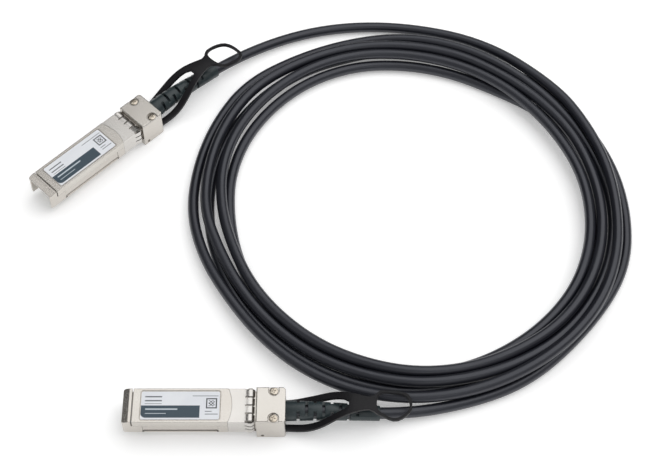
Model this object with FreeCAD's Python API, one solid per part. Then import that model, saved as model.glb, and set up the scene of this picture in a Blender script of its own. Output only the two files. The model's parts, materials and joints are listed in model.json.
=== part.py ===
import FreeCAD, Part
import os
from math import sin, cos, tan, radians, degrees, pi

os.makedirs("parts", exist_ok=True)
V = FreeCAD.Vector

# ---- driving dimensions, mm. Each plug is drawn with u from the nose to the cord, v across, z up ----
fit = 0.05              # running or assembly clearance per side
cage_depth = 47.5       # nose end to the stop face of the end block
body_w, body_h = 13.55, 8.5
body_z = 2.4            # underside of the body, over the table
body_top = body_z + body_h
bottom_ch = 1.1         # 45 degree chamfer along both lower edges
wall, skin = 1.3, 1.0   # shell side wall, cover plate
seam_z = 8.0            # where the cover's flanges land on the shell walls
flange_t = 0.9
floor_t = 1.1
nose_open = 10.4        # length of the nose that is open underneath
lip_len, lip_slope, lip_drop = 3.2, 2.2, 0.55
groove = 0.4            # between the nose lip and the cover
block_l, block_w = 10.5, 14.0
cap_z0, cap_top = 10.8, 11.7
block_end = cage_depth + block_l
block_r = 1.2           # rear upright corners of the block
axis_z = 6.65           # height of the cord where it enters the block

collar_u0, collar_band, collar_arc = cage_depth - 10.0, cage_depth - 3.9, 1.4
collar_inset, collar_t = 0.25, 0.2
finger_w, finger_gap = 2.7, 0.55
tip_u0, tip_deep = cage_depth - 1.3, 0.8        # notch that the collar's finger tips dip into

board_gap = 0.075       # between the board's edges and the shell walls
board_t, board_z, board_w = 1.0, body_z + 2.25, body_w - 2 * wall - 2 * board_gap
edge_w = board_w - 1.6
board_u0, board_u1 = 3.2, cage_depth - 7.5
pad_pitch, pad_w, pad_l, pad_t = 0.8, 0.56, 2.6, 0.05

cord_d = 4.2
cord_u0 = cage_depth + 3.5        # where the jacket ends inside the block
ferrule_od, ferrule_l = 5.0, 3.6
wire_d = 0.85
neck_u0, neck_v, neck_z0, neck_z1 = cage_depth + 7.5, 3.0, 4.2, 9.1      # the boot's neck in the block
rib_u0, rib_l, rib_v = neck_u0 + 0.7, 1.2, 4.2

boot_len, boot_r0, boot_r1 = 33.6, 3.7, 2.75
slot_pitch, slot_w, slot_keep, slot_n = 6.0, 1.1, 1.6, 4
side_slot_s0, top_slot_s0 = 4.4, 7.4

travel = 2.8            # pull of the latch
slider_t, slider_z = 0.6, 2.5
boss_u1, boss_l, boss_v, boss_drop = cage_depth - 2.5, 3.5, 1.3, 0.45
tine_in, tine_out, tine_tip = 1.7, 2.95, cage_depth - 7.9
bar_u0, bar_u1, bar_v = cage_depth + 1.15, cage_depth + 4.5, 6.1
cav_u1, cav_z0, cav_z1, cav_v = cage_depth + 9.5, 2.1, 3.6, 6.3
ear_in, ear_out, ear_u1 = 4.3, 5.5, cav_u1 - 1.0
tab_t, tab_u0 = 1.2, cage_depth + 5.5
spring_od, spring_wire, spring_turns, spring_z = 1.7, 0.3, 6, 1.55

screw_u, screw_v, head_r, bore_r, bore_deep, shank_r = cage_depth + 6.2, 5.4, 1.25, 2.0, 0.45, 0.6
label_u0, label_u1, label_v, label_t, pocket_gap = 6.6, collar_u0 - 3.0, body_w / 2 - 1.225, 0.1, 0.35

coil_c = (51.8, 87.9)   # middle of the coil, from the middle of plug B's block
coil_h, coil_round = 2 * cord_d, 3.6
coil_out = [86.5, 85.2, 89.4, 89.8, 90.2, 89.4, 86.1, 82.0, 82.9, 83.8, 86.4, 85.7]
coil_in = [68.4, 70.0, 71.5, 74.2, 75.6, 72.6, 68.0, 66.5, 65.6, 66.6, 70.0, 68.5]

turn_a = 45.2                     # of plug A about z, degrees
stop_a = (-58.73, 129.2)          # middle of plug A's stop face
# each plug's nose end in x and y, and its turn
plug_a = (stop_a[0] - cage_depth * cos(radians(turn_a)), stop_a[1] - cage_depth * sin(radians(turn_a)), turn_a)
plug_b = (-(cage_depth + block_l / 2), 0.0, 0.0)


def box(u0, u1, v0, v1, z0, z1):
    return Part.makeBox(u1 - u0, v1 - v0, z1 - z0, V(u0, v0, z0))


def both(u0, u1, v0, v1, z0, z1):
    return box(u0, u1, v0, v1, z0, z1).fuse(box(u0, u1, -v1, -v0, z0, z1))


def fuse(shapes):
    out = shapes[0].fuse(shapes[1:]) if len(shapes) > 1 else shapes[0]
    return out.removeSplitter()


def prism_uz(pts, v0, v1):
    f = Part.Face(Part.makePolygon([V(u, v0, z) for u, z in pts] + [V(pts[0][0], v0, pts[0][1])]))
    return f.extrude(V(0, v1 - v0, 0))


def prism_vz(pts, u0, u1):
    f = Part.Face(Part.makePolygon([V(u0, v, z) for v, z in pts] + [V(u0, pts[0][0], pts[0][1])]))
    return f.extrude(V(u1 - u0, 0, 0))


def section(u0, u1, inset, z_top=None):
    """A length of the body's outer form, with its chamfered lower edges, inset all round."""
    h, z0 = body_w / 2 - inset, body_z + inset
    z1 = body_top - inset if z_top is None else z_top
    c = bottom_ch - inset * (2 - 2 ** 0.5)
    return prism_vz([(-h, z0 + c), (-h + c, z0), (h - c, z0), (h, z0 + c), (h, z1), (-h, z1)], u0, u1)


def smooth(pts, count, closed=False):
    """Points along a smooth curve through the given ones."""
    c = Part.BSplineCurve()
    c.interpolate(pts, PeriodicFlag=closed)
    out = c.toShape().discretize(Number=count + (1 if closed else 0))
    return out[:-1] if closed else out


def face(pts):
    return Part.Face(Part.makePolygon(pts + pts[:1]))


def facets(rings):
    """A closed solid of flat facets through many-sided sections."""
    pts = [[v.Point for v in w.OrderedVertexes] for w in rings]
    faces = [face(pts[0]), face(pts[-1])]
    for a, b in zip(pts, pts[1:]):
        for i in range(len(a)):
            faces += [face([a[i - 1], a[i], b[i]]), face([a[i - 1], b[i], b[i - 1]])]
    solid = Part.makeSolid(Part.makeShell(faces))
    return solid if solid.Volume > 0 else solid.reversed()


def ring(p, across, up, r, sides):
    """A flat many-sided section about a point."""
    turn = [2 * pi * (i + 0.5) / sides for i in range(sides)]
    pts = [p + across * (r * cos(a)) + up * (r * sin(a)) for a in turn]
    return Part.makePolygon(pts + pts[:1])


def upright_ring(p, t, r, sides):
    across = V(0, 0, 1).cross(t).normalize()
    return ring(p, across, t.cross(across), r, sides)


def cyl(r, p, d, h):
    return Part.makeCylinder(r, h, p, d)


def arc_front(z0, z1, gap):
    """Everything behind the collar's bowed front edge, between two heights."""
    h = body_w
    a, m, b = (V(collar_u0 + gap, -body_w / 2, z0), V(collar_u0 + collar_arc + gap, 0, z0),
               V(collar_u0 + gap, body_w / 2, z0))
    out = [Part.Arc(a, m, b).toShape(), Part.makeLine(b, V(b.x, h, z0)),
           Part.makeLine(V(b.x, h, z0), V(cage_depth, h, z0)),
           Part.makeLine(V(cage_depth, h, z0), V(cage_depth, -h, z0)),
           Part.makeLine(V(cage_depth, -h, z0), V(a.x, -h, z0)), Part.makeLine(V(a.x, -h, z0), a)]
    return Part.Face(Part.Wire(out)).extrude(V(0, 0, z1 - z0))


# ---- cord path: straight runs joined by tangent arcs ----
def cord_edges(pts, say=None):
    n = len(pts)
    run = [(pts[i + 1] - pts[i]) for i in range(n - 1)]
    radii, back = [], [0.0] * n
    for i in range(1, n - 1):
        turn = run[i - 1].getAngle(run[i])
        back[i] = 0.45 * min(run[i - 1].Length, run[i].Length)
        radii.append(back[i] / tan(turn / 2))
    edges, here = [], pts[0]
    for i in range(1, n - 1):
        d0, d1 = V(run[i - 1]).normalize(), V(run[i]).normalize()
        a, b = pts[i] - d0 * back[i], pts[i] + d1 * back[i]
        half = run[i - 1].getAngle(run[i]) / 2
        inward = (d1 - d0).normalize()
        mid = pts[i] + inward * (radii[i - 1] / cos(half) - radii[i - 1])
        edges += [Part.makeLine(here, a), Part.Arc(a, mid, b).toShape()]
        here = b
    edges.append(Part.makeLine(here, pts[-1]))
    if say:
        print(say, "runs", [round(r.Length, 1) for r in run], "radii", [round(r, 1) for r in radii])
    return edges


def tube(pts, d, say=None):
    edges = cord_edges(pts, say)
    d0 = (pts[1] - pts[0]).normalize()
    ring = Part.Wire(Part.Circle(pts[0], d0, d / 2).toShape())
    solid = Part.Wire(edges).makePipeShell([ring], True, False)
    if say:
        length = sum(e.Length for e in edges)
        print(say, "length", round(length, 1), "volume ratio", round(solid.Volume / (pi * d * d / 4 * length), 4))
    return solid, edges


def station(edges, s):
    for e in edges:
        if s <= e.Length or e is edges[-1]:
            p = e.getParameterByLength(min(s, e.Length))
            return e.valueAt(p), V(e.tangentAt(p)).normalize()
        s -= e.Length


def to_plug(where, p):
    x, y, a = where
    c, s = cos(radians(a)), sin(radians(a))
    return V(x + c * p[0] - s * p[1], y + s * p[0] + c * p[1], p[2])


def from_plug(where, q):
    x, y, a = where
    c, s = cos(radians(a)), sin(radians(a))
    return V(c * (q[0] - x) + s * (q[1] - y), -s * (q[0] - x) + c * (q[1] - y), q[2])


lead_a_pts = [to_plug(plug_a, (cord_u0, 0, axis_z)), to_plug(plug_a, (cord_u0 + 20.75, 0, axis_z)),
              V(-13, 172, 2.8), V(17, 184.6, 2.15), V(50, 186.2, 2.15), V(88, 168.5, 3.2)]
lead_b_pts = [V(cord_u0 + plug_b[0], 0, axis_z), V(19, 0, axis_z), V(47, 0.3, 3.3),
              V(70, 5.2, 2.15), V(90, 12.8, 2.15), V(107, 25.5, 2.15)]

# middle height of each latch strap along its length, from the stop face
tab_low = [(2.5, 2.8), (5.5, 2.8), (8.5, 2.8), (11, 2.82), (14, 3.0)]
tab_rise_a = [(17, 3.7), (20.5, 5.2), (24.5, 7.9), (28, 10.4), (31.5, 12.1), (35, 12.8), (38.5, 12.8),
              (42.5, 12.3), (48.5, 11.0), (53.5, 9.9), (58.5, 9.0)]
tab_rise_b = [(17, 3.6), (20.5, 4.9), (24.5, 7.4), (28, 9.9), (31.5, 11.7), (35, 12.5), (38.5, 12.4),
              (42.5, 11.5), (48.5, 9.9), (53.5, 9.3), (58.5, 9.0)]


# ---- plug pieces, in the plug's own frame ----
def base_shell():
    inner = body_w / 2 - wall
    h = body_w / 2
    s = fuse([section(0, collar_u0, 0, seam_z), section(collar_u0, cage_depth, collar_inset, seam_z)])
    s = s.cut(box(-1, cage_depth, -inner, inner, body_z + floor_t, 20))
    s = s.cut(box(-1, nose_open, -inner, inner, 0, 20))
    lip = prism_uz([(0, seam_z), (0, body_top - lip_drop), (lip_slope, body_top), (lip_len, body_top),
                    (lip_len, seam_z)], -h, h)
    lip = lip.cut(box(-1, lip_len + 1, -inner, inner, 0, body_top - skin))
    parts = [s, lip, both(nose_open, board_u1, board_w / 2 - 0.9, inner, body_z + floor_t, board_z),
             box(collar_u0 - 1.5, cage_depth, -inner, inner, body_z + floor_t, 4.15)]
    blk = box(cage_depth, block_end, -block_w / 2, block_w / 2, 0, cap_z0)
    rear = [e for e in blk.Edges if abs(e.BoundBox.XMin - block_end) < 1e-6 and e.BoundBox.ZLength > 5]
    blk = blk.makeFillet(block_r, rear)
    s = fuse(parts + [blk])
    # chamber for the cord's end, then the necked slot that holds the boot
    lug_u0, boss_u0 = bar_u1 - slider_t, boss_u1 - boss_l
    cuts = [box(cage_depth - 1, neck_u0, -rib_v, rib_v, 4.15, 20),
            box(neck_u0 - 1, block_end + 1, -neck_v - fit, neck_v + fit, neck_z0, 20),
            box(rib_u0 - fit, rib_u0 + rib_l + fit, -rib_v - fit, rib_v + fit, neck_z0, 20),
            box(bar_u0 - fit, cav_u1, -cav_v, cav_v, cav_z0, cav_z1),
            both(cav_u1 - 0.1, block_end + 1, 3.5, cav_v, cav_z0, cav_z1),
            box(tine_tip - 1.1, bar_u0, -tine_out - 0.2, tine_out + 0.2, 0, cav_z1 - 0.35),
            box(lug_u0 - 0.5, cav_u1, -1.05, 1.05, 0.6, cav_z0 + 0.1),
            both(tip_u0, cage_depth, tine_out + 0.4, h - bottom_ch, body_z, body_z + tip_deep)]
    cuts[5] = cuts[5].cut(box(boss_u0, cage_depth, -boss_v - 0.1, boss_v + 0.1, 0, 4)).cut(
        box(cage_depth, bar_u0, -20, 20, 0, slider_z - 0.1))
    for side in (-1, 1):
        cuts.append(cyl(shank_r, V(screw_u, side * screw_v, 6.0), V(0, 0, 1), 6))
        a, b = sorted((side * (h - 0.25), side * (h + 1)))
        cuts.append(box(7.0, collar_u0 - 3.5, a, b, body_z + bottom_ch + 0.8, seam_z))
        a, b = sorted((side * (h - 0.45), side * (h + 1)))
        low = body_z + bottom_ch - 0.1
        cuts += [box(u, u + 0.6, a, b, low, low + 1.0) for u in (6.9, collar_u0 - 4.0)]
        a, b = sorted((side * (h - tip_deep), side * (h + 1)))
        cuts.append(box(tip_u0, cage_depth, a, b, body_z + bottom_ch, seam_z))
        cuts.append(cyl(0.6, V(cage_depth + 2.1, side * (block_w / 2 - 0.4), 1.1), V(0, side, 0), 2))
    for c in cuts:
        s = s.cut(c)
    # latch boss: a ramp that drops to a square shoulder
    boss = prism_uz([(boss_u0, 3.0), (boss_u0 + 0.9, body_z + 0.25), (boss_u0 + 0.9, body_z),
                     (boss_u1 - 0.2, body_z - boss_drop), (boss_u1, body_z - boss_drop), (boss_u1, 3.0)],
                    -boss_v, boss_v)
    pedestal = box(boss_u0, cage_depth, -boss_v - 0.1, boss_v + 0.1, body_z + collar_inset, 3.4)
    s = fuse([s, pedestal, boss])
    # lead-in at the two front upright corners
    for side in (-1, 1):
        c = Part.Face(Part.makePolygon([V(-0.1, side * (h - 0.5), 0), V(-0.1, side * (h + 0.1), 0),
                                        V(0.9, side * (h + 0.1), 0), V(-0.1, side * (h - 0.5), 0)]))
        s = s.cut(c.extrude(V(0, 0, 15)))
    return s


def top_cover():
    h, u0 = body_w / 2, lip_len + groove
    hi = h - collar_inset
    parts = [box(u0, collar_u0, -h, h, body_top - skin, body_top),
             both(u0, collar_u0, h - flange_t, h, seam_z, body_top - skin),
             box(collar_u0, cage_depth, -hi, hi, body_top - skin, body_top - collar_inset),
             both(collar_u0, cage_depth, h - flange_t, hi, seam_z, body_top - skin)]
    brow = box(collar_u0 - 1, collar_u0 + 3, -h, h, body_top - skin, body_top)
    parts.append(brow.cut(arc_front(0, 20, 0)))
    cap = box(cage_depth, block_end, -block_w / 2, block_w / 2, cap_z0, cap_top)
    rear = [e for e in cap.Edges if abs(e.BoundBox.XMin - block_end) < 1e-6 and e.BoundBox.ZLength > 0.5]
    cap = cap.makeFillet(block_r, rear)
    parts += [cap, box(cage_depth - 1, neck_u0 - 0.1, fit - rib_v, rib_v - fit, body_top - skin, cap_z0 + 0.1),
              box(neck_u0 + fit, block_end - fit, -neck_v, neck_v, neck_z1, cap_z0 + 0.1),
              box(rib_u0, rib_u0 + rib_l, -rib_v, rib_v, neck_z1, cap_z0 + 0.1)]
    for u in (13.0, board_u1 - 9.0):
        parts.append(both(u, u + 1.2, 3.6, 4.8, board_z + board_t, body_top - skin + 0.1))
    s = fuse(parts)
    half = label_v + pocket_gap
    pocket = box(label_u0 - pocket_gap, label_u1 + pocket_gap, -half, half, body_top - 2 * label_t, 20)
    pocket = pocket.makeFillet(0.8, [e for e in pocket.Edges if e.BoundBox.ZLength > 5])
    cuts = [pocket, box(tip_u0, cage_depth, -h, h, body_top - 0.7, 20)]
    for side in (-1, 1):
        a, b = sorted((side * (h - tip_deep), side * (h + 1)))
        cuts.append(box(tip_u0, cage_depth, a, b, seam_z - 1, 20))
        cuts.append(cyl(bore_r, V(screw_u, side * screw_v, cap_top - bore_deep), V(0, 0, 1), 3))
        cuts.append(cyl(shank_r, V(screw_u, side * screw_v, 8), V(0, 0, 1), 6))
    for c in cuts:
        s = s.cut(c)
    return s


def finger(pts, w0, w1, t):
    """A sprung strip from a line of (u, height) points, t thick, between two cross positions."""
    up = [V(u, w0, k) for u, k in pts]
    low = [V(u, w0, k - t) for u, k in reversed(pts)]
    return Part.Face(Part.makePolygon(up + low + [up[0]])).extrude(V(0, w1 - w0, 0))


def emi_collar():
    o, i = collar_inset - collar_t, collar_inset
    band = section(collar_u0 + fit, collar_band, o).cut(section(collar_u0 - 1, collar_band + 1, i))
    front = box(collar_u0 - 1, collar_u0 + 3, -body_w, body_w, body_top - 0.3, 20).cut(arc_front(0, 30, fit))
    band = band.cut(front)
    band = band.cut(box(collar_u0 + 1.1, collar_band + 1, -3.5, 3.5, 0, 4))
    strip = [(-0.4, 0), (0.8, 0.14), (1.6, 0.42), (2.3, 0.44), (3.0, 0.1), (3.5, -0.3)]
    strip = [(collar_band + u, k) for u, k in strip]
    pitch = finger_w + finger_gap
    leaves = [finger(strip, -finger_w / 2 + k * pitch, finger_w / 2 + k * pitch, collar_t)
              for k in (-1.5, -0.5, 0.5, 1.5)]
    top = Part.makeCompound(leaves)
    top.translate(V(0, 0, body_top - o))
    side = Part.makeCompound([finger(strip, 1.15 + k * 2.35, 3.05 + k * 2.35, collar_t) for k in range(3)])
    h = body_w / 2 - o
    out = [band]
    for c in top.Solids:
        out.append(c)
    for turn, place in ((90, V(0, -h, 0)), (-90, V(0, h, 0))):
        for c in side.Solids:
            c = c.copy()
            if turn < 0:
                c = c.mirror(V(0, 0, 0), V(0, 1, 0))
            c.rotate(V(0, 0, 0), V(1, 0, 0), turn)
            z = c.BoundBox.ZMin
            c.translate(V(0, place.y, 0))
            c.translate(V(0, 0, body_z + 0.2))
            out.append(c)
    for v in (-5.4, 3.7):
        c = finger(strip, v, v + 1.7, collar_t).mirror(V(0, 0, 0), V(0, 0, 1))
        c.translate(V(0, 0, body_z + o))
        out.append(c)
    return fuse(out)


def circuit_board():
    z0, z1 = board_z, board_z + board_t
    tongue = prism_uz([(board_u0, z0 + 0.25), (board_u0 + 0.4, z0), (nose_open + 1, z0), (nose_open + 1, z1),
                       (board_u0 + 0.4, z1), (board_u0, z1 - 0.25)], -edge_w / 2, edge_w / 2)
    return fuse([tongue, box(nose_open + 0.3, board_u1 - 0.2, -board_w / 2, board_w / 2, z0, z1)])


def contact_pads():
    out = []
    for k in range(10):
        v = (k - 4.5) * pad_pitch
        for z in (board_z - pad_t, board_z + board_t):
            u0 = board_u0 + (0.7 if k in (0, 4, 9) else 1.1)
            out.append(box(u0, board_u0 + 1.1 + pad_l, v - pad_w / 2, v + pad_w / 2, z, z + pad_t))
    return Part.makeCompound(out)


def control_chip():
    z = board_z + board_t
    s = box(20, 23, -1.5, 1.5, z, z + 0.85)
    return s.makeChamfer(0.2, [e for e in s.Edges if abs(e.BoundBox.ZMin - (z + 0.85)) < 1e-6])


def signal_wires():
    out, z = [], board_z + board_t + wire_d / 2
    for v0, v1 in ((-1.35, -3.0), (-0.45, -1.8), (0.45, 1.8), (1.35, 3.0)):
        pts = [V(cord_u0, v0, axis_z), V(cord_u0 - 4, v0, axis_z),
               V(cord_u0 - 9.5, v1, z), V(cord_u0 - 15.5, v1, z)]
        lean = V(pts[2] - pts[1]).normalize()
        dirs = [V(-1, 0, 0), (lean - V(1, 0, 0)).normalize(), (lean - V(1, 0, 0)).normalize(), V(-1, 0, 0)]
        out.append(Part.makeLoft([upright_ring(p, t, wire_d / 2, 8) for p, t in zip(pts, dirs)], True, True))
    return Part.makeCompound(out)


def crimp_ferrule():
    p = V(cord_u0, 0, axis_z)
    return cyl(ferrule_od / 2, p, V(1, 0, 0), ferrule_l).cut(cyl(cord_d / 2, p, V(1, 0, 0), ferrule_l))


def latch_slider():
    z0, z1 = slider_z, slider_z + slider_t
    bar = box(bar_u0, bar_u1, -bar_v, bar_v, z0, z1)
    tongue = box(cage_depth + 0.3, bar_u0 + 0.1, -tine_out, tine_out, z0, z1)
    tines = both(tine_tip + 1.4, cage_depth + 0.4, tine_in, tine_out, z0, z1)
    tip = prism_uz([(tine_tip, z1), (tine_tip + 0.5, z0 - 0.08), (tine_tip + 1.0, z0 - 0.08),
                    (tine_tip + 1.5, z0), (tine_tip + 1.5, z1)], tine_in, tine_out)
    tip2 = tip.mirror(V(0, 0, 0), V(0, 1, 0))
    ears = both(bar_u1 - 0.1, ear_u1, ear_in, ear_out, z0, z1)
    barbs = both(ear_u1 - 1.2, ear_u1 - 0.2, ear_in - 0.3, ear_out + 0.3, z0, z1)
    lug = box(bar_u1 - slider_t, bar_u1, -0.85, 0.85, 0.75, z0 + 0.1)
    return fuse([bar, tongue, tines, tip, tip2, ears, barbs, lug])


def return_spring():
    """Wound from square wire, eight straight lengths to a turn."""
    u0, u1 = bar_u1 + spring_wire / 2 + 0.02, cav_u1 - spring_wire / 2 - 0.02
    r, steps, rings = (spring_od - spring_wire) / 2, 8 * spring_turns, []
    for i in range(steps + 1):
        a = 2 * pi * i / 8
        out = V(0, cos(a), sin(a))
        rings.append(ring(V(u0 + (u1 - u0) * i / steps, 0, spring_z) + out * r, V(1, 0, 0), out,
                          spring_wire * 0.6, 4))
    return Part.makeLoft(rings, True, True)


def pull_tab(mid, lean):
    """A flat strap that rises to a ring and leans a little to one side. Outlines are (distance from the
    stop face, half width), and mid holds the strap's (distance, middle height)."""
    start = tab_u0 - cage_depth
    outer = [(start, 6.1), (8, 6.1), (10.5, 6.1), (13.5, 6.3), (17, 6.65), (20.5, 6.7), (24.5, 6.3), (28.5, 5.45),
             (32.5, 4.35), (36.5, 3.2), (39.1, 2.6), (40.9, 2.6), (42.1, 3.4), (43.7, 4.6), (46.1, 5.5),
             (49, 5.9), (51.6, 5.45), (53.8, 4.2), (55.1, 2.3), (55.6, 0)]
    inner = [(start, 3.7), (8, 3.7), (10.5, 3.7), (13.5, 3.85), (17, 4.15), (20.5, 4.15), (24.5, 3.8),
             (28, 3.1), (31, 2.2), (32.8, 1.1), (33.3, 0)]
    hole = [(42.9, 0), (43.0, 1.7), (43.8, 3.2), (45.8, 4.5), (48.6, 5.0), (51.1, 4.6), (53.1, 3.4),
            (54.3, 1.7), (54.7, 0)]

    def mirrored(half, closed=False):
        pts = [V(cage_depth + u, v, 0) for u, v in half]
        pts += [V(p.x, -p.y, 0) for p in reversed(pts[1 if closed else 0:-1])]
        return [p + V(0, lean * max(0, (p.x - cage_depth - 20) / 40) ** 1.3, 0) for p in pts]

    plan = face(smooth(mirrored(outer), 60)).extrude(V(0, 0, 20))
    plan = plan.cut(face(smooth(mirrored(inner), 32)).extrude(V(0, 0, 20)))
    plan = plan.cut(face(smooth(mirrored(hole, True), 26, True)).extrude(V(0, 0, 20)))
    line = smooth([V(cage_depth + u, -10, z) for u, z in mid], 30)
    up, low = [], []
    for i, q in enumerate(line):
        t = (line[min(i + 1, len(line) - 1)] - line[max(i - 1, 0)]).normalize()
        k = V(-t.z, 0, t.x) * (tab_t / 2)
        up.append(q + k)
        low.append(q - k)
    return plan.common(face(up + low[::-1]).extrude(V(0, 20, 0)))


def cover_screw(side):
    z = cap_top - bore_deep
    shank = cyl(shank_r, V(screw_u, side * screw_v, 6.6), V(0, 0, 1), z - 6.6)
    head = Part.makeCone(head_r, head_r * 0.62, 0.5, V(screw_u, side * screw_v, z))
    cross = [Part.makeBox(1.3, 0.3, 0.5, V(screw_u - 0.65, side * screw_v - 0.15, z + 0.25)),
             Part.makeBox(0.3, 1.3, 0.5, V(screw_u - 0.15, side * screw_v - 0.65, z + 0.25))]
    return fuse([shank, head]).cut(cross[0]).cut(cross[1])


def label():
    s = box(label_u0, label_u1, -label_v, label_v, body_top - 2 * label_t, body_top - label_t)
    return s.makeFillet(0.6, [e for e in s.Edges if abs(e.BoundBox.ZLength - label_t) < 1e-6])


def strain_relief(edges):
    """Tapered boot, bent to the cord's path, with slots alternately from the sides and from above and below."""
    s0 = block_end - cord_u0
    rings, n = [], 6
    for i in range(n + 1):
        k = i / n
        p, t = station(edges, s0 + boot_len * k)
        r = boot_r0 + (boot_r1 - boot_r0) * k ** 1.1
        if i == 0:
            p, t = V(block_end, 0, axis_z), V(1, 0, 0)
        rings.append(upright_ring(p, t, r, 18))
    s = facets(rings)
    neck = fuse([box(neck_u0, block_end + 0.1, -neck_v, neck_v, neck_z0, neck_z1),
                 box(rib_u0, rib_u0 + rib_l, -rib_v, rib_v, neck_z0, neck_z1)])
    s = s.fuse(neck)
    for j in range(2 * slot_n):
        sidewise = j % 2 == 0
        p, t = station(edges, s0 + (side_slot_s0 if sidewise else top_slot_s0) + slot_pitch * (j // 2))
        across = V(0, 0, 1).cross(t).normalize()
        up = t.cross(across)
        for side in (-1, 1):
            c = Part.makeBox(slot_w, 12, 5, V(-slot_w / 2, -6, slot_keep))
            m = FreeCAD.Matrix(t.x, across.x, up.x, p.x, t.y, across.y, up.y, p.y, t.z, across.z, up.z, p.z)
            turn = (90 if side > 0 else -90) if sidewise else (0 if side > 0 else 180)
            c.rotate(V(0, 0, 0), V(1, 0, 0), turn)
            s = s.cut(c.transformGeometry(m))
    bore, r = [], (cord_d / 2 + fit) / cos(pi / 16)
    for i in range(13):
        p, t = station(edges, s0 - 4 + (boot_len + 6) * i / 12)
        bore.append(upright_ring(p, t, r, 16))
    return s.cut(facets(bore))


def plug(tag, where, lead_pts, tab_line, tab_lean):
    pts = [from_plug(where, p) for p in lead_pts]
    cord, edges = tube(pts, cord_d, "lead_" + tag)
    slider = latch_slider()
    nodes = {"base_shell": base_shell(), "top_cover": top_cover(), "emi_collar": emi_collar(),
             "circuit_board": circuit_board(), "contact_pads": contact_pads(), "control_chip": control_chip(),
             "signal_wires": signal_wires(), "crimp_ferrule": crimp_ferrule(), "latch_slider": slider,
             "return_spring": return_spring(), "pull_tab": pull_tab(tab_line, tab_lean).cut(slider),
             "screw_near": cover_screw(-1), "screw_far": cover_screw(1), "label": label(),
             "strain_relief": strain_relief(edges), "cable_lead": cord}
    for name, s in nodes.items():
        s.rotate(V(0, 0, 0), V(0, 0, 1), where[2])
        s.translate(V(where[0], where[1], 0))
        save(name + "_" + tag, s)


def cable_coil():
    """The coil's outer shape: a flat ring whose edges are rounded off in three facets."""
    ease = coil_round * (1 - 0.5 ** 0.5)
    levels = [(0, coil_round), (ease, ease), (coil_round, 0)]
    levels += [(coil_h - z, inset) for z, inset in reversed(levels)]

    def wall(radii, way):
        n = len(radii)
        turn = [2 * pi * i / n for i in range(n)]
        pts = smooth([V(r * cos(a), r * sin(a), 0) for r, a in zip(radii, turn)], 48, True)
        rings = []
        for z, inset in levels:
            rim = [V(coil_c[0], coil_c[1], z) + p * (1 - way * inset / p.Length) for p in pts]
            rings.append(Part.makePolygon(rim + rim[:1]))
        return Part.makeLoft(rings, True, True)
    return wall(coil_out, 1).cut(wall(coil_in, -1))


def save(name, s):
    ok = s.isValid() and all(k.Volume > 0 for k in s.Solids)
    print(name, "solids", len(s.Solids), "valid", ok, "volume", round(s.Volume, 2))
    s.exportStep("parts/" + name + ".step")


plug("a", plug_a, lead_a_pts, tab_low + tab_rise_a, -2.2)
plug("b", plug_b, lead_b_pts, tab_low + tab_rise_b, 0.3)
save("cable_coil", cable_coil())
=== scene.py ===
import json
from math import cos, pi, radians, sin

import bmesh
import bpy
from mathutils import Matrix, Vector

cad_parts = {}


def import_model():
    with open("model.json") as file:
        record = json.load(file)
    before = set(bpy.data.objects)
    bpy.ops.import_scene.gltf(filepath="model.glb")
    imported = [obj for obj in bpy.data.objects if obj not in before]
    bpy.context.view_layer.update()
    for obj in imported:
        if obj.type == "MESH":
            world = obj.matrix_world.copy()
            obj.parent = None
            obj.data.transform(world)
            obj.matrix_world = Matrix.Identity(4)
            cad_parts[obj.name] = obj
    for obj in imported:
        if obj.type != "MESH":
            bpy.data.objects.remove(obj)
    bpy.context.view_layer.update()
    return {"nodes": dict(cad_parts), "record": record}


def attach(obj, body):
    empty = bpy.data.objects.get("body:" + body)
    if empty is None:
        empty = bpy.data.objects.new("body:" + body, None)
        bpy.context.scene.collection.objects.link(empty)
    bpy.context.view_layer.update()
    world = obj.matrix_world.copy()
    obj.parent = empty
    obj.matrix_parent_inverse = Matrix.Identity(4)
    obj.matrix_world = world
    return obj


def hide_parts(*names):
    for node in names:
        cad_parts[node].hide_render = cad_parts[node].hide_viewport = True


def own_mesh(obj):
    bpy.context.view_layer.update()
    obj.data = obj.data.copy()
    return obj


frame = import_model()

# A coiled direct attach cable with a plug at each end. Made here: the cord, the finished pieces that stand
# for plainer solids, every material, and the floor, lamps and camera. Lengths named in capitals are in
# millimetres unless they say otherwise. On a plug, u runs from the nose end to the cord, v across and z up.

nodes = frame["nodes"]
MM = 0.001

# Each plug's nose end in x and y, in metres, and its turn about z, in degrees.
PLUGS = {"a": (-0.0922, 0.0954954, 45.2), "b": (-0.05275, 0.0, 0.0)}
# Places along u, and the height of the cord's axis in a plug.
COLLAR_BAND, STOP_FACE, CORD_START, SCREW_U, SPRING_BACK, BLOCK_END = 43.6, 47.5, 51.0, 53.7, 56.96, 58.0
AXIS_Z = 6.65


def plug_place(tag):
    """Plug coordinates, in metres along u, v and z, to the object's frame."""
    x, y, turn = PLUGS[tag]
    return Matrix.Translation((x, y, 0)) @ Matrix.Rotation(radians(turn), 4, "Z")


def plug_point(tag, u, v, z):
    """A point on a plug, given in millimetres, in the object's frame."""
    return plug_place(tag) @ Vector((u * MM, v * MM, z * MM))


def in_scene(name, data):
    obj = bpy.data.objects.new(name, data)
    bpy.context.scene.collection.objects.link(obj)
    return obj


def aimed(name, data, where, target):
    """A camera or lamp at a place, in metres, that faces a target."""
    obj = in_scene(name, data)
    obj.location = where
    obj.rotation_euler = (Vector(target) - obj.location).to_track_quat("-Z", "Y").to_euler()
    return obj


# ---------------------------------------------------------------- camera
def camera():
    data = bpy.data.cameras.new("camera")
    data.lens, data.sensor_width, data.sensor_fit = 85.9, 36.0, "HORIZONTAL"
    data.clip_start, data.clip_end = 0.01, 20
    bpy.context.scene.camera = aimed("camera", data, (0.0219, -0.2654, 0.5117), (0.0219, 0.0792, 0.0))


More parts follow.
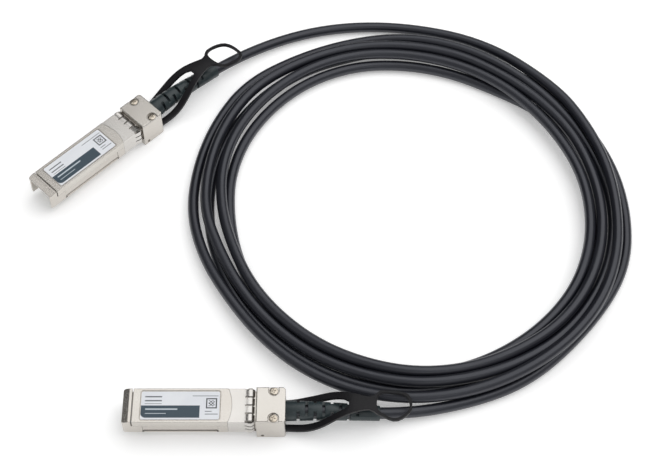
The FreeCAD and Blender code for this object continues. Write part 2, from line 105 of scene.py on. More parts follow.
camera()

# ---------------------------------------------------------------- cord
CORD_D = 0.0042  # metres
# The height of the cord's axis where it rests on the table, and how far it runs straight from its start in
# plug A.
CORD_REST, CORD_STRAIGHT = 2.15, 20.75
# The leads' points are given in x, y and z. The coil's are given by their distance from the coil's middle
# and their height, every 15 degrees clockwise from plug A's lead to plug B's.
LEAD_A = [(-13, 172, 2.8), (17, 184.6, 2.15), (50, 186.2, 2.15), (86, 176, 3.2)]
LEAD_B = [(106.6, 25.9, 2.15), (90, 12.8, 2.15), (70, 5.2, 2.15), (47, 0.3, 3.3), (19, 0, 6.65),
          (-1.75, 0, 6.65)]
COIL_MIDDLE, COIL_START, COIL_STEP = (51.8, 87.9), 315, 15
COIL_RADII = [
    86.6, 83.3, 81.7, 80.9, 81.6, 82.2, 82.1, 82.1, 82.4, 82.7, 82.5, 81.2,
    79.8, 79.4, 81.9, 85.0, 86.8, 89.7, 93.1, 91.5, 90.4, 88.9, 86.3, 83.2,
    81.3, 81.1, 80.7, 80.2, 79.5, 78.9, 78.6, 77.9, 77.3, 76.6, 74.9, 73.9,
    73.5, 73.9, 75.5, 79.8, 82.0, 85.0, 87.9, 87.2, 86.3, 83.9, 82.0, 78.8,
    77.1, 76.4, 75.2, 75.1, 75.2, 75.3, 75.0, 73.6, 73.0, 72.2, 70.7, 69.9,
    69.3, 69.6, 70.2, 73.0, 76.6, 79.5, 81.3, 82.5, 82.0, 79.5, 77.2, 74.7,
    72.1, 70.7, 70.5, 70.4, 70.8, 71.1, 70.7, 70.5, 70.9, 71.4, 71.3, 70.5,
    69.8, 69.3, 69.3, 70.3, 73.0, 75.3, 77.0, 78.4, 78.4, 76.5, 74.7, 73.3,
    75.4, 77.4, 75.5, 73.1, 71.7, 74.0, 74.5, 74.8, 76.5, 78.3, 78.1, 77.4,
    76.7, 76.4, 77.2, 78.7, 80.5, 82.4, 83.9, 84.7, 84.3, 85.7, 86.3, 86.0,
    85.2, 85.3, 85.1, 85.0, 85.4, 83.4,
]
COIL_HEIGHTS = [
    6.8, 7.1, 7.0, 6.6, 6.4, 6.5, 6.6, 6.6, 6.2, 5.7, 5.5, 5.4,
    5.4, 5.1, 4.4, 3.6, 2.8, 2.3, 2.1, 2.4, 3.5, 5.8, 6.7, 6.8,
    5.5, 3.4, 2.3, 2.1, 2.3, 3.4, 4.2, 5.4, 6.6, 6.3, 5.2, 4.6,
    5.0, 5.7, 6.3, 6.5, 6.3, 6.0, 5.8, 5.8, 6.2, 6.6, 6.8, 6.8,
    6.8, 6.7, 6.5, 6.3, 6.4, 6.5, 6.5, 6.3, 6.2, 6.4, 6.4, 6.4,
    6.4, 6.4, 6.3, 6.1, 5.9, 5.7, 5.7, 5.8, 6.1, 6.2, 6.3, 6.5,
    6.6, 6.6, 6.7, 6.7, 6.4, 5.5, 4.3, 3.1, 2.3, 2.1, 2.1, 2.1,
    2.1, 2.1, 2.1, 2.2, 2.2, 2.3, 2.4, 2.5, 2.5, 2.4, 2.3, 2.1,
    2.1, 2.2, 2.1, 2.1, 2.1, 2.1, 2.1, 2.1, 2.1, 2.1, 2.1, 2.1,
    2.1, 2.1, 2.1, 2.1, 2.1, 2.1, 2.1, 2.1, 2.1, 2.1, 2.1, 2.1,
    2.1, 2.1, 2.1, 2.1, 2.1, 2.1,
]


def route():
    """The cord's points from plug A to plug B, in metres."""
    points = [plug_point("a", u, 0, AXIS_Z) for u in (CORD_START, CORD_START + CORD_STRAIGHT)]
    points += [Vector(p) * MM for p in LEAD_A]
    for i, (r, z) in enumerate(zip(COIL_RADII, COIL_HEIGHTS)):
        turn = radians(COIL_START + i * COIL_STEP)
        x, y = COIL_MIDDLE[0] + r * cos(turn), COIL_MIDDLE[1] - r * sin(turn)
        points.append(Vector((x, y, max(z, CORD_REST))) * MM)
    return points + [Vector(p) * MM for p in LEAD_B]


def cord_curve(name, points):
    """One open curve with a round section and closed ends."""
    curve = bpy.data.curves.new(name, "CURVE")
    curve.dimensions = "3D"
    spline = curve.splines.new("NURBS")
    spline.points.add(len(points) - 1)
    for p, q in zip(spline.points, points):
        p.co = (*q, 1)
        p.radius = CORD_D / 2
    spline.order_u = 3
    spline.use_endpoint_u = True
    spline.resolution_u = 8
    curve.bevel_depth = 1.0
    curve.bevel_resolution = 6
    curve.use_fill_caps = True
    return in_scene(name, curve)


cord = cord_curve("patch_cord", route())
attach(cord, "cable_assembly")
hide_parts("cable_lead_a", "cable_coil", "cable_lead_b")
made_here = [(cord, "jacket")]  # every piece made here, with its material slot


# ---------------------------------------------------------------- shapes
def flattened(bm):
    """Makes the flat faces of a shape whole."""
    bmesh.ops.dissolve_limit(bm, angle_limit=radians(0.3), use_dissolve_boundaries=False,
                             verts=bm.verts, edges=bm.edges)
    return bm


def merged(node):
    """A CAD node's shape with its loose triangles joined and its flat faces made whole."""
    bm = bmesh.new()
    bm.from_mesh(nodes[node].data)
    bmesh.ops.remove_doubles(bm, verts=bm.verts, dist=2e-6)
    return flattened(bm)


def sharper(edge, angle):
    """Whether an edge turns by more than an angle in degrees."""
    return edge.is_manifold and edge.calc_face_angle(0) > radians(angle)


def bevelled(bm, edges, width, steps):
    bmesh.ops.bevel(bm, geom=edges, offset=width * MM, offset_type="OFFSET", segments=steps, profile=0.5,
                    affect="EDGES", clamp_overlap=True, material=-1)
    return bm


def rounded(bm, width, angle, steps):
    """Rounds every edge that is sharper than an angle in degrees."""
    return bevelled(bm, [e for e in bm.edges if sharper(e, angle)], width, steps)


def block(bm, place, middle, size):
    """Adds a block to a shape, from its middle and size in millimetres, and gives what was made."""
    return bmesh.ops.create_cube(bm, size=1.0, matrix=place @ Matrix.Translation([c * MM for c in middle])
                                 @ Matrix.Diagonal([c * MM for c in size] + [1]))


def mesh_of(name, bm):
    """A shape as a mesh. The shape itself is given up."""
    mesh = bpy.data.meshes.new(name)
    bm.to_mesh(mesh)
    bm.free()
    return mesh


def combined(target, tool, operation="DIFFERENCE"):
    """The target's shape less the tool's, or joined to it, as a new shape."""
    blank, cutter = [in_scene("blank", mesh_of("blank", bm)) for bm in (target, tool)]
    step = blank.modifiers.new("cut", "BOOLEAN")
    step.operation, step.solver, step.use_self, step.object = operation, "EXACT", True, cutter
    solved = blank.evaluated_get(bpy.context.evaluated_depsgraph_get())
    bm = bmesh.new()
    bm.from_mesh(bpy.data.meshes.new_from_object(solved))
    for obj in (blank, cutter):
        bpy.data.objects.remove(obj)
    return bm


def lathe(profile, steps):
    """A turned shape from (radius, height) points in millimetres."""
    bm = bmesh.new()
    verts = [bm.verts.new((r * MM, 0, z * MM)) for r, z in profile]
    edges = [bm.edges.new(pair) for pair in zip(verts, verts[1:])]
    bmesh.ops.spin(bm, geom=verts + edges, cent=(0, 0, 0), axis=(0, 0, 1), angle=2 * pi, steps=steps,
                   use_merge=True)
    bmesh.ops.remove_doubles(bm, verts=bm.verts, dist=1e-7)
    bmesh.ops.recalc_face_normals(bm, faces=bm.faces)
    return bm


def reshaped(bm, tag, shift):
    """Moves each vertex by what a function gives for its place on the plug, all in millimetres."""
    place = plug_place(tag)
    back = place.inverted()
    for vert in bm.verts:
        p = back @ vert.co
        move = shift(p.x / MM, p.y / MM, p.z / MM)
        if move:
            vert.co = place @ (p + Vector(move) * MM)
    return bm


def shown(name, bm, body, slot, node, crease):
    """A finished piece that stands for a CAD node and rides on its body."""
    mesh = mesh_of(name, bm)
    mesh.polygons.foreach_set("use_smooth", [True] * len(mesh.polygons))
    mesh.set_sharp_from_angle(angle=radians(crease))
    obj = in_scene(name, mesh)
    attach(obj, body)
    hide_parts(node)
    made_here.append((obj, slot))
    return obj


# ---------------------------------------------------------------- pieces
# Where each cross line of a spring finger stands behind the band, how far it moves back, and how far it
# moves up on the fingers of the top.
FINGER_LINES = [(0.8, -0.15, -0.02), (1.6, -0.30, -0.16), (2.3, 0.10, -0.16), (3.0, -0.25, -0.22),
                (3.5, -0.05, -0.38)]


def crown(u, v, z):
    """How a vertex moves to give the spring fingers a long rise, a flat crown and a short fall."""
    for line, along, up in FINGER_LINES:
        if abs(u - COLLAR_BAND - line) < 0.1:
            on_top = abs(v) < 6 and z > 10
            return along, 0, up if on_top else 0
    return None


# The strap's ring: its middle along from the stop face and across, its half sizes, where it starts behind
# the stop face, and, as parts of its half length, where its shaping starts and over what length it grows.
RING_MIDDLE = {"a": (48.9, -1.43), "b": (48.9, 0.2)}
RING_HALF_U, RING_HALF_V, RING_START, RING_ROOT, RING_FADE = 6.3, 5.7, 42.0, 0.98, 0.35
# How far a ring is drawn to its corners on the far side and the near side, and how much its near side widens.
RING_SQUARE = {"a": (0.05, 0.12), "b": (0.12, -0.09)}
RING_WIDER = {"a": 0.12, "b": 0.0}


def squared(tag):
    """How a vertex moves to draw the strap's ring out from an oval towards its corners, or in from them."""
    mid_u, mid_v = RING_MIDDLE[tag]
    far, near = RING_SQUARE[tag]

    def shift(u, v, z):
        du, dv = (u - STOP_FACE - mid_u) / RING_HALF_U, (v - mid_v) / RING_HALF_V
        reach = (du * du + dv * dv) ** 0.5
        if reach < 0.05 or du < -RING_ROOT or u < STOP_FACE + RING_START:
            return None
        corner = (2 * abs(du * dv) / reach ** 2) ** 2
        fade = min(1.0, (du + RING_ROOT) / RING_FADE)
        drawn = (far if dv > 0 else near) * corner * fade
        wider = RING_WIDER[tag] * fade if dv < 0 else 0.0
        return du * RING_HALF_U * drawn, dv * RING_HALF_V * (drawn + wider), 0

    return shift


# What opens a screw seat to the side, and the tongue under the groove at the lip: middle, then size.
SEAT_V, SEAT_Z, SEAT_SIZE = 6.7, 11.66, (3.84, 2.6, 0.8)
TONGUE_MIDDLE, TONGUE_SIZE = (3.8, 0, 10.2), (1.0, 11.2, 0.4)
# The end block's half width, the lowest place of its rim, and the width of the bevel round it.
BLOCK_HALF, RIM_LOW, RIM_WIDTH = 7.0, 11.6, 0.32


def on_rim(p):
    """Whether a point, in millimetres on the plug, is on the upper outside of the end block."""
    return p.z > RIM_LOW and min(abs(p.x - STOP_FACE), abs(p.x - BLOCK_END), BLOCK_HALF - abs(p.y)) < 0.3


def notched_cover(tag):
    """The cover with its screw seats open to the sides, an eased rim round its end block and a tongue."""
    place = plug_place(tag)
    back = place.inverted()
    cutter, tongue = bmesh.new(), bmesh.new()
    for side in (-1, 1):
        block(cutter, place, (SCREW_U, side * SEAT_V, SEAT_Z), SEAT_SIZE)
    block(tongue, place, TONGUE_MIDDLE, TONGUE_SIZE)
    bm = flattened(combined(combined(merged("top_cover_" + tag), cutter), tongue, "UNION"))
    rim = [e for e in bm.edges if sharper(e, 50) and all(on_rim(back @ v.co / MM) for v in e.verts)]
    return bevelled(bm, rim, RIM_WIDTH, 2)


SCREW_V, SCREW_SEAT = 5.4, 11.25
SCREW_TURNS = {"a": (20, 50), "b": (68, 12)}  # near and far, in degrees
HEAD_PROFILE = [(0, -4.6), (0.55, -4.6), (0.6, -4.4), (0.6, 0), (1.36, 0), (1.5, 0.05), (1.55, 0.16),
                (1.5, 0.27), (1.34, 0.36), (0.98, 0.43), (0.45, 0.46), (0, 0.47)]
# One slot of the cross: its middle's height, its size, and how much its lower half narrows.
CROSS_Z, CROSS_SIZE, CROSS_TAPER = 0.45, (1.9, 0.42, 0.6), 0.8


def cross_head_screw(tag, side, turn):
    """A screw with a domed head and a cut cross, turned by an angle in degrees."""
    cross = bmesh.new()
    for k in range(2):
        slab = block(cross, Matrix.Rotation(k * pi / 2, 4, "Z"), (0, 0, CROSS_Z), CROSS_SIZE)
        low = [v for v in slab["verts"] if v.co.z < CROSS_Z * MM]
        bmesh.ops.scale(cross, vec=(CROSS_TAPER, CROSS_TAPER, 1), verts=low)
    bm = combined(lathe(HEAD_PROFILE, 36), cross)
    bmesh.ops.rotate(bm, verts=bm.verts, cent=(0, 0, 0), matrix=Matrix.Rotation(radians(turn), 3, "Z"))
    seat = Matrix.Translation((SCREW_U * MM, side * SCREW_V * MM, SCREW_SEAT * MM))
    bmesh.ops.transform(bm, verts=bm.verts, matrix=plug_place(tag) @ seat)
    name = ("screw_near_" if side < 0 else "screw_far_") + tag
    return shown("cross_head_" + name, bm, "cable_assembly", "screw", name, 28)


for tag in "ab":
    strap = rounded(reshaped(merged("pull_tab_" + tag), tag, squared(tag)), 0.28, 40, 3)
    shown("moulded_strap_" + tag, strap, "latch_" + tag, "tab_plastic", "pull_tab_" + tag, 45)
    boot = rounded(merged("strain_relief_" + tag), 0.16, 38, 2)
    shown("slotted_boot_" + tag, boot, "cable_assembly", "boot", "strain_relief_" + tag, 30)
    collar = reshaped(merged("emi_collar_" + tag), tag, crown)
    shown("sprung_collar_" + tag, collar, "cable_assembly", "spring_steel", "emi_collar_" + tag, 35)
    shown("notched_cover_" + tag, notched_cover(tag), "cable_assembly", "die_cast_cover", "top_cover_" + tag,
          12)
    spring = shown("wound_return_spring_" + tag, merged("return_spring_" + tag), "cable_assembly",
                   "spring_wire", "return_spring_" + tag, 40)
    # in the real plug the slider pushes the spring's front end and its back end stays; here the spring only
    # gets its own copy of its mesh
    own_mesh(spring)
    for side, turn in zip((-1, 1), SCREW_TURNS[tag]):
        cross_head_screw(tag, side, turn)


# ---------------------------------------------------------------- shared effects
def fill(tree, node, values):
    """Gives a node's inputs their values, or links them to other nodes' sockets."""
    for key, value in dict(values).items():
        if isinstance(value, bpy.types.NodeSocket):
            tree.links.new(value, node.inputs[key])
        else:
            node.inputs[key].default_value = value
    return node


def add(tree, kind, values=(), **settings):
    """A shader node with its settings made and its inputs filled."""
    node = tree.nodes.new("ShaderNode" + kind)
    for key, value in settings.items():
        setattr(node, key, value)
    return fill(tree, node, values)


def maths(tree, operation, *values, **settings):
    return add(tree, "Math", dict(enumerate(values)), operation=operation, **settings).outputs[0]


def spread(tree, value, low, high, start=0.35, stop=0.65):
    """A value's stretch between start and stop, drawn out from low to high."""
    return add(tree, "MapRange", {"Value": value, "From Min": start, "From Max": stop, "To Min": low,
                                  "To Max": high}).outputs[0]


def objects_place(tree):
    return add(tree, "TexCoord").outputs["Object"]


def effect(name, inputs, outputs):
    """An empty node group with named sockets: its tree, what it is given and what it gives out."""
    tree = bpy.data.node_groups.new(name, "ShaderNodeTree")
    for label, value in inputs.items():
        tree.interface.new_socket(label, in_out="INPUT", socket_type="NodeSocketFloat").default_value = value
    for label in outputs:
        kind = "Vector" if label == "Normal" else "Float"
        tree.interface.new_socket(label, in_out="OUTPUT", socket_type="NodeSocket" + kind)
    return tree, tree.nodes.new("NodeGroupInput").outputs, tree.nodes.new("NodeGroupOutput").inputs


def use(tree, group, values=()):
    """Puts an effect into a material's tree and gives its outputs."""
    node = tree.nodes.new("ShaderNodeGroup")
    node.node_tree = group
    return fill(tree, node, values).outputs


def soft_edges():
    """Normals turned round a small radius at each edge, and a mask of where they turn."""
    tree, given, out = effect("soft_edges", {"Radius": 0.0002, "Strength": 8.0}, ["Normal", "Edge"])
    turned = add(tree, "Bevel", {"Radius": given["Radius"]}, samples=4).outputs[0]
    plain = add(tree, "NewGeometry").outputs["Normal"]
    dot = add(tree, "VectorMath", {0: turned, 1: plain}, operation="DOT_PRODUCT").outputs["Value"]
    edge = maths(tree, "MULTIPLY", maths(tree, "SUBTRACT", 1.0, dot), given["Strength"], use_clamp=True)
    tree.links.new(turned, out["Normal"])
    tree.links.new(edge, out["Edge"])
    return tree


def recess_shade():
    """How open a place is: one on open faces, down to nought deep in a groove or slot."""
    tree, given, out = effect("recess_shade", {"Reach": 0.0008}, ["Open"])
    around = add(tree, "AmbientOcclusion", {"Distance": given["Reach"]}, samples=6)
    tree.links.new(around.outputs["AO"], out["Open"])
    return tree


def fine_grain():
    """Fine grain as a height, broad soft clouds of tone, and small specks."""
    tree, given, out = effect("fine_grain", {"Grain": 2500.0, "Cloud": 90.0}, ["Height", "Clouds", "Specks"])
    place = objects_place(tree)
    fine = add(tree, "TexNoise", {"Vector": place, "Scale": given["Grain"], "Detail": 3.0, "Roughness": 0.6})
    broad = add(tree, "TexNoise", {"Vector": place, "Scale": given["Cloud"], "Detail": 2.0, "Roughness": 0.5})
    pits = add(tree, "TexVoronoi", {"Vector": place, "Scale": maths(tree, "MULTIPLY", given["Grain"], 0.35)})
    tree.links.new(fine.outputs[0], out["Height"])
    tree.links.new(broad.outputs[0], out["Clouds"])
    tree.links.new(spread(tree, pits.outputs["Distance"], 1.0, 0.0, 0.0, 0.16), out["Specks"])
    return tree


def label_field():
    """A rectangle on a sheet, between two places along it and two across it."""
    fields = {"Along": 0.0, "Across": 0.0, "Middle along": 0.0, "Half along": 1.0, "Middle across": 0.0,
              "Half across": 1.0}
    tree, given, out = effect("label_field", fields, ["Mask"])
    one = maths(tree, "COMPARE", given["Along"], given["Middle along"], given["Half along"])
    two = maths(tree, "COMPARE", given["Across"], given["Middle across"], given["Half across"])
    tree.links.new(maths(tree, "MULTIPLY", one, two), out["Mask"])
    return tree


SOFT_EDGES, RECESS_SHADE, FINE_GRAIN, LABEL_FIELD = soft_edges(), recess_shade(), fine_grain(), label_field()


# ---------------------------------------------------------------- materials
def principled(name, rough, metal=0.0, **sockets):
    """A material with its tree and its shader, and the values that are the same all over it."""
    material = bpy.data.materials.new(name)
    material.use_nodes = True
    shader = material.node_tree.nodes["Principled BSDF"]
    shader.inputs["Roughness"].default_value = rough
    shader.inputs["Metallic"].default_value = metal
    for key, value in sockets.items():
        shader.inputs[key.replace("_", " ")].default_value = value
    return material, material.node_tree, shader


def blend(tree, factor, one, two):
    """One tone at a factor of nought and the other at one."""
    mix = add(tree, "Mix", {"Factor": factor}, data_type="RGBA")
    for key, colour in (("A", one), ("B", two)):
        socket = next(s for s in mix.inputs if s.name == key and s.type == "RGBA")
        if isinstance(colour, bpy.types.NodeSocket):
            tree.links.new(colour, socket)
        else:
            socket.default_value = (*colour, 1)
    return next(s for s in mix.outputs if s.type == "RGBA")


def surface(tree, shader, tone, rough, height, relief, depth, normal=None):
    """Links a tone and a roughness to the shader, and a height as relief, over a normal if one is given."""
    tree.links.new(tone, shader.inputs["Base Color"])
    tree.links.new(rough, shader.inputs["Roughness"])
    bump = add(tree, "Bump", {"Strength": relief, "Distance": depth, "Height": height})
    if normal is not None:
        tree.links.new(normal, bump.inputs["Normal"])
    tree.links.new(bump.outputs[0], shader.inputs["Normal"])


def plated_metal(name, light, dark, rough, radius=0.0003, grain=5200.0, relief=0.1, wear=0.3, groove_shade=0.95,
                 shut=0.80, reach=0.0005):
    """Satin metal, a little mottled, paler along its edges, with painted shade darkening its grooves.

    radius is how far the edges turn and wear how pale they are. The value after wear is how dark the painted
    shade in the deepest grooves is, shut how open a place may be and still be shaded, and reach how far
    across it looks.
    Lengths are in metres.
    """
    material, tree, shader = principled(name, rough, 1.0)
    edges = use(tree, SOFT_EDGES, {"Radius": radius})
    grains = use(tree, FINE_GRAIN, {"Grain": grain, "Cloud": 75.0})
    tone = blend(tree, spread(tree, grains["Clouds"], 0, 1, 0.2, 0.8), dark, light)
    worn = maths(tree, "MULTIPLY", edges["Edge"], wear)
    tone = blend(tree, worn, tone, [min(1.0, c * 1.18) for c in light])
    tone = blend(tree, maths(tree, "MULTIPLY", grains["Specks"], 0.12), tone, [c * 0.6 for c in dark])
    # painted shade: the colour darkens towards a dark brown where ambient occlusion finds a groove, slot or
    # nearby wall
    painted_shade = spread(tree, use(tree, RECESS_SHADE, {"Reach": reach})["Open"], groove_shade, 0.0, 0.27, shut)
    tone = blend(tree, painted_shade, tone, (dark[0] * 0.16, dark[1] * 0.12, dark[2] * 0.09))
    matt = spread(tree, grains["Height"], rough - 0.04, rough + 0.05)
    matt = maths(tree, "SUBTRACT", matt, maths(tree, "MULTIPLY", edges["Edge"], 0.08))
    surface(tree, shader, tone, matt, grains["Height"], relief, 0.00002, edges["Normal"])
    return material


def moulded(name, colour, pale, rough, grain, relief, **sockets):
    """Rubber or plastic from a satin mould: faint clouds, fine grain, and edges that have rubbed paler."""
    material, tree, shader = principled(name, rough, **sockets)
    edges = use(tree, SOFT_EDGES, {"Radius": 0.00025, "Strength": 5.0})
    grains = use(tree, FINE_GRAIN, {"Grain": grain, "Cloud": 70.0})
    tone = blend(tree, spread(tree, grains["Clouds"], 0, 0.6), colour, [c * 0.72 for c in colour])
    tone = blend(tree, maths(tree, "MULTIPLY", edges["Edge"], 0.4), tone, pale)
    tone = blend(tree, maths(tree, "MULTIPLY", grains["Specks"], 0.12), tone, pale)
    matt = spread(tree, grains["Height"], rough - 0.06, rough + 0.08)
    surface(tree, shader, tone, matt, grains["Height"], relief, 0.00003, edges["Normal"])
    return material


def extruded_jacket():
    """Smooth extruded rubber with faint clouds, and a slow unevenness from the pairs inside."""
    rough = 0.34
    material, tree, shader = principled("extruded_jacket", rough, Specular_IOR_Level=0.78,
                                        Specular_Tint=(0.90, 0.92, 1.0, 1))
    grains = use(tree, FINE_GRAIN, {"Grain": 1500.0, "Cloud": 40.0})
    clouds = spread(tree, grains["Clouds"], 0, 1)
    tone = blend(tree, clouds, (0.0078, 0.0086, 0.0130), (0.0108, 0.0118, 0.0172))
    tone = blend(tree, maths(tree, "MULTIPLY", grains["Specks"], 0.1), tone, (0.05, 0.05, 0.053))
    matt = spread(tree, grains["Clouds"], rough - 0.05, rough + 0.06)
    slow = add(tree, "TexNoise", {"Vector": objects_place(tree), "Scale": 160.0, "Detail": 1.0})
    height = maths(tree, "ADD", maths(tree, "MULTIPLY", grains["Height"], 0.15), slow.outputs[0])
    surface(tree, shader, tone, matt, height, 0.25, 0.0001)
    return material


def in_plug(tree, tag):
    """Places on a plug in millimetres: along it from the nose, across it and up."""
    x, y, turn = PLUGS[tag]
    return add(tree, "Mapping", {"Vector": objects_place(tree), "Location": (x, y, 0),
                                 "Rotation": (0, 0, radians(turn)), "Scale": (MM, MM, MM)},
               vector_type="TEXTURE").outputs[0]


# The label's tones, its slate band with the band's rounded corner, its chequered square, and its blank
# rules with the tone of each. Fields are given by their first and last place along it, then across it.
SLATE, INK = (0.038, 0.066, 0.090), (0.045, 0.048, 0.055)
RULE, PALE_RULE = (0.13, 0.14, 0.155), (0.50, 0.56, 0.61)
PAPER, PALE_PAPER = (0.72, 0.74, 0.78), (0.76, 0.78, 0.81)
BAND, CORNER_U, CORNER_V, CORNER_RADIUS = (6.0, 27.5, -4.9, 0.0), 8.4, -3.1, 1.8
CHEQUERS, CHEQUER_SCALE = (30.6, 32.7, -0.3, 2.0), 1.7
LABEL_RULES = [
    (7.9, 13.9, 3.25, 3.75, RULE), (7.9, 13.9, 1.65, 2.15, RULE), (7.9, 13.9, 0.60, 0.80, RULE),
    (8.2, 19.6, -1.75, -1.20, PALE_RULE), (8.2, 15.6, -3.30, -3.05, PALE_RULE),
    (24.8, 34.0, 3.70, 3.95, RULE), (29.4, 31.8, -2.50, -2.20, RULE), (29.4, 34.0, -3.60, -3.30, RULE),
    (29.7, 33.6, -1.2, 2.9, INK), (30.15, 33.15, -0.75, 2.45, PAPER),
]


def label_film(tag):
    """Pale film with a slate band, ruled blank lines and a chequered square."""
    material, tree, shader = principled("label_film_" + tag, 0.42)
    at = add(tree, "SeparateXYZ", {0: in_plug(tree, tag)}).outputs
    grains = use(tree, FINE_GRAIN, {"Grain": 3000.0, "Cloud": 150.0})

    def mask(u0, u1, v0, v1):
        return use(tree, LABEL_FIELD, {"Along": at[0], "Across": at[1], "Middle along": (u0 + u1) / 2,
                                       "Half along": (u1 - u0) / 2, "Middle across": (v0 + v1) / 2,
                                       "Half across": (v1 - v0) / 2})["Mask"]

    def before(place, limit):
        return maths(tree, "MAXIMUM", maths(tree, "SUBTRACT", limit, place), 0.0)

    tone = blend(tree, spread(tree, grains["Clouds"], 0, 1), PAPER, PALE_PAPER)
    corner = add(tree, "CombineXYZ", {0: before(at[0], CORNER_U), 1: before(at[1], CORNER_V)})
    reach = add(tree, "VectorMath", {0: corner.outputs[0]}, operation="LENGTH").outputs["Value"]
    band = maths(tree, "MULTIPLY", mask(*BAND), maths(tree, "LESS_THAN", reach, CORNER_RADIUS))
    tone = blend(tree, band, tone, SLATE)
    for *place, colour in LABEL_RULES:
        tone = blend(tree, mask(*place), tone, colour)
    cells = add(tree, "TexChecker", {"Vector": in_plug(tree, tag), "Scale": CHEQUER_SCALE})
    tone = blend(tree, maths(tree, "MULTIPLY", mask(*CHEQUERS), cells.outputs["Fac"]), tone, INK)
    surface(tree, shader, tone, spread(tree, grains["Height"], 0.36, 0.50), grains["Height"], 0.1, 0.00001)
    return material


def solder_mask(tag):
    """Green mask over copper tracks that run along the board, with paler vias."""
    material, tree, shader = principled("solder_mask_" + tag, 0.3)
    place = in_plug(tree, tag)
    waves = add(tree, "TexWave", {"Vector": place, "Scale": 0.62, "Distortion": 0.0}, wave_type="BANDS",
                bands_direction="Y", wave_profile="SIN")
    track = spread(tree, waves.outputs["Fac"], 0.0, 1.0, 0.55, 0.7)
    dots = add(tree, "TexVoronoi", {"Vector": place, "Scale": 0.5, "Randomness": 0.35})
    via = maths(tree, "LESS_THAN", dots.outputs["Distance"], 0.12)
    tone = blend(tree, track, (0.010, 0.060, 0.030), (0.018, 0.105, 0.052))
    tone = blend(tree, via, tone, (0.35, 0.30, 0.16))
    grains = use(tree, FINE_GRAIN, {"Grain": 2000.0})
    surface(tree, shader, tone, spread(tree, grains["Clouds"], 0.24, 0.38), track, 0.12, 0.00002)
    return material


def crimped_copper():
    """Dull copper, clouded with tarnish."""
    material, tree, shader = principled("crimped_copper", 0.35, 1.0)
    grains = use(tree, FINE_GRAIN, {"Grain": 2200.0, "Cloud": 300.0})
    tone = blend(tree, spread(tree, grains["Clouds"], 0, 1), (0.42, 0.22, 0.13), (0.60, 0.36, 0.24))
    surface(tree, shader, tone, spread(tree, grains["Height"], 0.28, 0.46), grains["Height"], 0.4, 0.00003)
    return material


NICKEL, NICKEL_COVER, NICKEL_DARK = (0.63, 0.60, 0.56), (0.645, 0.62, 0.58), (0.585, 0.55, 0.505)
MATERIALS = {
    "die_cast_shell": plated_metal("satin_nickel_shell", NICKEL, NICKEL_DARK, 0.23),
    "die_cast_cover": plated_metal("satin_nickel_cover", NICKEL_COVER, NICKEL_DARK, 0.24),
    # the collar's painted shade is the darkest and reaches farthest, to darken each finger's fall and the
    # slot beneath it
    "spring_steel": plated_metal("bright_collar_steel", (0.67, 0.655, 0.63), (0.61, 0.585, 0.555), 0.20,
                                 radius=0.00006, grain=7000.0, relief=0.05, groove_shade=0.98, shut=0.86,
                                 reach=0.002),
    "gold_pads": plated_metal("gold_flash", (0.86, 0.62, 0.25), (0.74, 0.52, 0.20), 0.2, radius=0.00003,
                              grain=5000.0),
    "latch_steel": plated_metal("stamped_latch_steel", (0.60, 0.59, 0.58), (0.50, 0.49, 0.48), 0.33,
                                radius=0.0001, grain=3000.0),
    "spring_wire": plated_metal("drawn_spring_wire", (0.58, 0.57, 0.56), (0.46, 0.45, 0.44), 0.22,
                                radius=0.00005, grain=4000.0, relief=0.15),
    "screw": plated_metal("plated_screw", (0.68, 0.63, 0.55), (0.56, 0.49, 0.40), 0.24, radius=0.0001,
                          wear=0.4, groove_shade=0.45),
    "chip": moulded("moulded_epoxy", (0.018, 0.018, 0.020), (0.06, 0.06, 0.06), 0.55, 4000.0, 0.5),
    "wire_insulation": moulded("clear_white_insulation", (0.72, 0.72, 0.69), (0.85, 0.85, 0.82), 0.3, 2500.0,
                               0.1),
    "ferrule": crimped_copper(),
    "tab_plastic": moulded("satin_black_strap", (0.0105, 0.0100, 0.0120), (0.024, 0.023, 0.026), 0.42, 1600.0,
                           0.2, Specular_IOR_Level=0.22),
    "boot": moulded("satin_boot_rubber", (0.021, 0.034, 0.038), (0.05, 0.066, 0.07), 0.40, 1500.0, 0.25,
                    Specular_IOR_Level=0.55),
    "jacket": extruded_jacket(),
}
for tag in "ab":
    MATERIALS["label_paper_" + tag] = label_film(tag)
    MATERIALS["board_" + tag] = solder_mask(tag)


def dress(piece, material):
    """Gives a piece one material in place of any that it has."""
    piece.data.materials.clear()
    piece.data.materials.append(material)


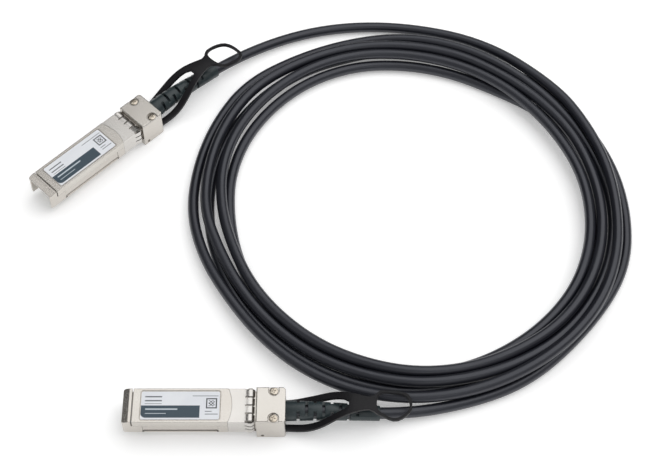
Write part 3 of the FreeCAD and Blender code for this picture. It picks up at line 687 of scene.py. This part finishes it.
for sub in frame["record"]["subparts"]:
    name, slot = sub["node"], sub["material_slot"]
    dress(nodes[name], MATERIALS.get(slot) or MATERIALS[slot + "_" + name[-1]])
for piece, slot in made_here:
    dress(piece, MATERIALS[slot])


# ---------------------------------------------------------------- floor and light
def pale_floor():
    material, _, shader = principled("pale_floor", 0.9, Emission_Strength=0.25, Specular_IOR_Level=0.1)
    shader.inputs["Base Color"].default_value = (0.9, 0.9, 0.9, 1)
    shader.inputs["Emission Color"].default_value = (1, 1, 1, 1)
    bm = bmesh.new()
    bmesh.ops.create_grid(bm, x_segments=1, y_segments=1, size=3.0)
    floor = in_scene("floor", mesh_of("floor", bm))
    floor.data.materials.append(material)


def tent():
    """A white tent that lights evenly. Its reflection is dim behind the set and paler in front."""
    world = bpy.data.worlds.new("studio")
    bpy.context.scene.world = world
    world.use_nodes = True
    tree = world.node_tree
    backdrop = tree.nodes["Background"]
    backdrop.inputs["Color"].default_value = (1, 1, 1, 1)
    across = add(tree, "SeparateXYZ", {0: add(tree, "TexCoord").outputs["Generated"]}).outputs["Y"]
    mirrored = spread(tree, across, 0.05, 0.38, 0.3, -0.3)
    sight = add(tree, "LightPath").outputs["Is Glossy Ray"]
    tree.links.new(spread(tree, sight, 0.55, mirrored, 0.0, 1.0), backdrop.inputs["Strength"])


# Each lamp's place and target, its width and depth, all in metres, and its brightness.
LAMPS = {
    "overhead": ((0.44, 0.50, 1.05), (0.07, 0.22, 0), 1.74, 1.5, 1.30),
    "left": ((-0.918, 0.473, 1.535), (-0.08, 0.10, 0), 0.36, 0.6, 1.25),
    "front": ((0.25, -0.75, 0.75), (0.03, 0.05, 0), 0.5, 0.4, 0.7),
}


def lamps():
    for name, (where, target, width, depth, brightness) in LAMPS.items():
        lamp = bpy.data.lights.new(name, "AREA")
        lamp.shape, lamp.size, lamp.size_y = "RECTANGLE", width, depth
        lamp.energy = brightness * pi * width * depth
        aimed(name, lamp, where, target)


pale_floor()
tent()
lamps()
bpy.context.scene.view_settings.view_transform = "Standard"

bpy.context.view_layer.update()
